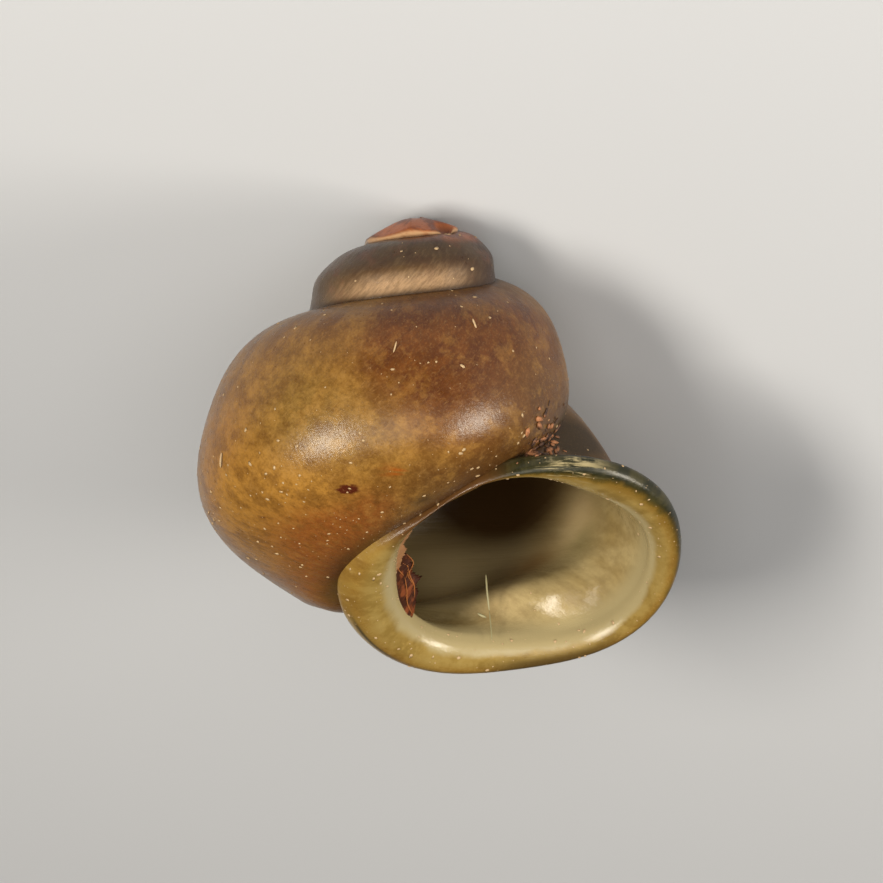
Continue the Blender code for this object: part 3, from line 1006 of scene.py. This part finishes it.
# %% Lint and fibres
THREAD_ROWS, THREAD_SIDES = 24, 6
ANY_WAY = (0.31, 0.27, 0.91)


def thread(name, points, radius, finish):
    """A six-sided tube along a smooth line through the points. Radius * (1 - 0.7 s^4): thin ends."""
    line = bent_line(points, THREAD_ROWS)
    ahead = np.gradient(line, axis=0)
    ahead /= np.linalg.norm(ahead, axis=1, keepdims=True)
    side = np.cross(ahead, ANY_WAY)
    side /= np.linalg.norm(side, axis=1, keepdims=True)
    other = np.cross(ahead, side)
    turn = np.arange(THREAD_SIDES) * 2 * np.pi / THREAD_SIDES
    share = np.linspace(-1, 1, THREAD_ROWS)[:, None, None]
    ring = np.cos(turn)[None, :, None] * side[:, None] + np.sin(turn)[None, :, None] * other[:, None]
    piece = grid_mesh(name, laid(line[:, None] + ring * radius * (1 - 0.7 * share**4)))
    piece.data.shade_smooth()
    dress(piece, finish)
    return piece


lint = Finish("pale_lint", Base_Color=(0.24, 0.22, 0.12, 1.0), Roughness=0.5)
THREADS = (
    ("upright_fibre", 0.015, lint, (1.106, 1.60, -5.75), (1.13, 1.50, -6.00), (1.17, 1.45, -6.28)),
    ("lower_fibre", 0.010, lint, (1.17, 1.45, -6.29), (1.20, 1.25, -6.52), (1.22, 1.10, -6.72)),
    ("fibre_crumb", 0.020, lint, (1.00, 1.45, -6.33), (1.06, 1.42, -6.36), (1.13, 1.42, -6.39)),
    ("left_fibre", 0.018, pale_dust, (-2.80, -1.16, -4.12), (-2.81, -1.15, -4.22), (-2.81, -1.13, -4.34)),
    ("tick_upper", 0.014, pale_dust, (0.81, -1.98, -2.09), (0.84, -1.98, -2.16), (0.87, -1.98, -2.24)),
    ("tick_middle", 0.012, pale_dust, (-0.29, -2.42, -2.46), (-0.31, -2.42, -2.55), (-0.33, -2.43, -2.62)),
)
for name, radius, finish, *points in THREADS:
    thread(name, points, radius, finish)
print(len(THREADS), "threads of lint and fibre")

# %% [markdown]
# ## Dried tissue
# A scrap of the animal has dried on the inner lip, and a tan fold of lime runs along the edge above it.
# Both follow the throat's edge, so they are sheets laid along it. Noise on their free edge makes them
# ragged, and Solidify gives them a thickness, which is simpler than building both sides.

# %% Flaps along the throat
FLAP_ROWS, FLAP_COLUMNS = 12, 90
FLAP_HEIGHT = -0.20
FLAP_OVERLAP = 0.03
SOFTENING = 25
kernel = np.hanning(SOFTENING) / np.hanning(SOFTENING).sum()


def flap(name, first, last, reach, drop, ragged, thickness, finish):
    """Radius = throat - reach * v * rounded ends, height = FLAP_HEIGHT - drop * v, both with noise."""
    u, v = np.linspace(0, 1, FLAP_COLUMNS), np.linspace(0, 1, FLAP_ROWS)[:, None]
    angle = np.radians(first + (last - first) * u)
    raw = rng.normal(size=(2, FLAP_COLUMNS + SOFTENING - 1))
    noise, ripple = (np.convolve(row, kernel, "valid") for row in raw)
    fringe = 0.20 * ragged * rng.normal(size=FLAP_COLUMNS)
    ends = np.clip(np.sin(np.pi * u**1.4), 0.0, 1.0) ** 0.7
    edge = np.interp(angle, ANGLES, wave_sum(THROAT)) + FLAP_OVERLAP
    radius = edge - reach * v * ends * (1 + ragged * noise + fringe)
    height = FLAP_HEIGHT - drop * v + 0.15 * ragged * reach * v * ripple
    outward, apexward, axis = lip_axes()
    direction = np.cos(angle)[:, None] * outward + np.sin(angle)[:, None] * apexward
    points = LIP_MIDDLE + height[..., None] * axis + radius[..., None] * direction
    corner = (np.arange(FLAP_ROWS - 1)[:, None] * FLAP_COLUMNS + np.arange(FLAP_COLUMNS - 1)).ravel()
    faces = np.stack([corner, corner + 1, corner + FLAP_COLUMNS + 1, corner + FLAP_COLUMNS], axis=-1)
    piece = mesh_of(name, points.reshape(-1, 3), faces)
    solid = piece.modifiers.new("thickness", "SOLIDIFY")
    solid.thickness = thickness * MM
    solid.offset = 0.0
    dress(piece, finish)
    return points


tissue = Finish("dried_tissue", Roughness=0.6, Specular_IOR_Level=0.1)
tissue_at = tissue.node("ShaderNodeTexCoord").outputs["Object"]
tissue_noise = tissue.noise(tissue_at, 9000.0, 4.0, 0.6, stretch=(1.0, 0.4, 0.4))
tissue_tone = tissue.mix(tissue.step(tissue_noise, 0.45, 0.62), (0.035, 0.010, 0.005), (0.15, 0.040, 0.013))
tissue.join(tissue_tone, tissue.shader.inputs["Base Color"])
scrap = flap("tissue_scrap", 180, 231, 0.36, 0.30, 0.5, 0.02, tissue)

tan = Finish("tan_lime", Base_Color=(0.24, 0.115, 0.050, 1.0), Roughness=0.35)
flap("tan_fold", 142, 196, 0.15, 0.10, 0.5, 0.02, tan)
flap("pale_strip", 120, 150, 0.07, 0.02, 0.6, 0.02, tan)

ORANGE_RUNS = ((9, 45, 8), (18, 60, 10), (30, 75, 9), (42, 84, 6), (15, 36, 4))
orange = Finish("orange_fibre", Base_Color=(0.33, 0.115, 0.030, 1.0), Roughness=0.4)
for number, (start, end, edge) in enumerate(ORANGE_RUNS):
    columns = np.linspace(start, end, 4).astype(int)
    rows = np.clip(edge + rng.integers(-2, 2, 4), 1, FLAP_ROWS - 1)
    thread(f"orange_fibre_{number}", scrap[rows, columns] + (0.0, -0.04, 0.0), 0.008, orange)
print("flaps and fibres along the throat")

# %% [markdown]
# ## Camera
# The photograph looks down at the aperture at about 42 degrees. It is a close-up through a long lens, so
# lines stay parallel. The picture's right, up and away directions are given in the shell's frame and
# turned with it.

# %% Camera
PICTURE_PITCH = -0.0202
PICTURE_ROLL = -0.0262
PICTURE_WIDTH = 12.892
CAMERA_DISTANCE = 400.0
TARGET_RIGHT, TARGET_UP, TARGET_AWAY = 0.3028, -3.8575, -1.0
SENSOR_WIDTH = 36.0

away = np.array([0.0, np.cos(PICTURE_PITCH), -np.sin(PICTURE_PITCH)])
level = np.array([0.0, np.sin(PICTURE_PITCH), np.cos(PICTURE_PITCH)])
across = np.array([1.0, 0.0, 0.0])
picture_right = AXES @ (np.cos(PICTURE_ROLL) * across - np.sin(PICTURE_ROLL) * level)
picture_up = AXES @ (np.sin(PICTURE_ROLL) * across + np.cos(PICTURE_ROLL) * level)
picture_away = AXES @ away
origin_on_table = -RESTING_MIDDLE
target = origin_on_table + TARGET_RIGHT * picture_right + TARGET_UP * picture_up + TARGET_AWAY * picture_away


def turned(right, up, back):
    """The 4 x 4 matrix whose columns are these three directions."""
    matrix = np.eye(4)
    matrix[:3, :3] = np.stack([right, up, back], axis=1)
    return matrix


camera = bpy.data.objects.new("camera", bpy.data.cameras.new("camera"))
bpy.context.scene.collection.objects.link(camera)
placed = turned(picture_right, picture_up, -picture_away)
placed[:3, 3] = (target - CAMERA_DISTANCE * picture_away) * MM
camera.matrix_world = placed.T.tolist()
camera.data.lens = SENSOR_WIDTH * CAMERA_DISTANCE / PICTURE_WIDTH
camera.data.clip_start = 0.01
camera.data.clip_end = 10.0
bpy.context.scene.camera = camera
looks_down = float(np.degrees(np.arcsin(-picture_away[2])))
print("camera looks down by", round(looks_down, 1), "degrees")


# %% [markdown]
# ## Lights
# Two tall soft boxes stand to the left and right of the lens, as the two bright spots on the body whorl
# show, and a weak broad one in front fills the aperture. Area lights are used, because their shape shows
# in the gloss.

# %% Soft boxes
def soft_box(name, right, up, toward, width, height, power, colour, distance=60.0):
    """A light of width by height that faces the shell from right, up and toward the viewer."""
    direction = right * picture_right + up * picture_up - toward * picture_away
    direction /= np.linalg.norm(direction)
    side = np.cross(picture_up, direction)
    side /= np.linalg.norm(side)
    light = bpy.data.lights.new(name, "AREA")
    light.shape = "RECTANGLE"
    light.size = width * MM
    light.size_y = height * MM
    light.energy = power
    light.color = colour
    thing = bpy.data.objects.new(name, light)
    bpy.context.scene.collection.objects.link(thing)
    placed = turned(side, np.cross(direction, side), direction)
    placed[:3, 3] = (target + distance * direction) * MM
    thing.matrix_world = placed.T.tolist()
    print(name, "from", direction.round(2).tolist())


soft_box("left_light", -0.64, -0.14, 0.75, 20.0, 28.0, 0.054, (1.0, 0.92, 0.78))
soft_box("right_light", 0.80, -0.15, 0.56, 14.0, 26.0, 0.044, (1.0, 0.92, 0.78))
soft_box("front_light", 0.05, -0.10, 1.0, 40.0, 40.0, 0.019, (1.0, 0.96, 0.88))

# %% [markdown]
# ## Sky and floor
# The sky is a weak even glow, and the floor is a sheet of dull pale paper under the shell. A curved
# backdrop isn't needed, as the camera looks down and sees no horizon.

# %% Sky and floor
sky = bpy.data.worlds.new("sky")
sky.use_nodes = True
sky.node_tree.nodes["Background"].inputs["Color"].default_value = (0.95, 0.96, 1.0, 1.0)
sky.node_tree.nodes["Background"].inputs["Strength"].default_value = 0.06
bpy.context.scene.world = sky

FLOOR_SIZE = 0.6
corners = np.array([(-1, -1, 0), (1, -1, 0), (1, 1, 0), (-1, 1, 0)]) * FLOOR_SIZE / 2
floor_mesh = bpy.data.meshes.new("floor")
floor_mesh.from_pydata(corners.tolist(), [], [(0, 1, 2, 3)])
floor = bpy.data.objects.new("floor", floor_mesh)
bpy.context.scene.collection.objects.link(floor)
paper = Finish("pale_floor", Base_Color=(0.37, 0.385, 0.42, 1.0), Roughness=0.9)
floor.data.materials.append(paper.material)
bpy.context.scene.view_settings.view_transform = "Standard"

# %% [markdown]
# ## The last update
# The frame's last call brings the scene up to date.

# %% Update the scene
bpy.context.view_layer.update()
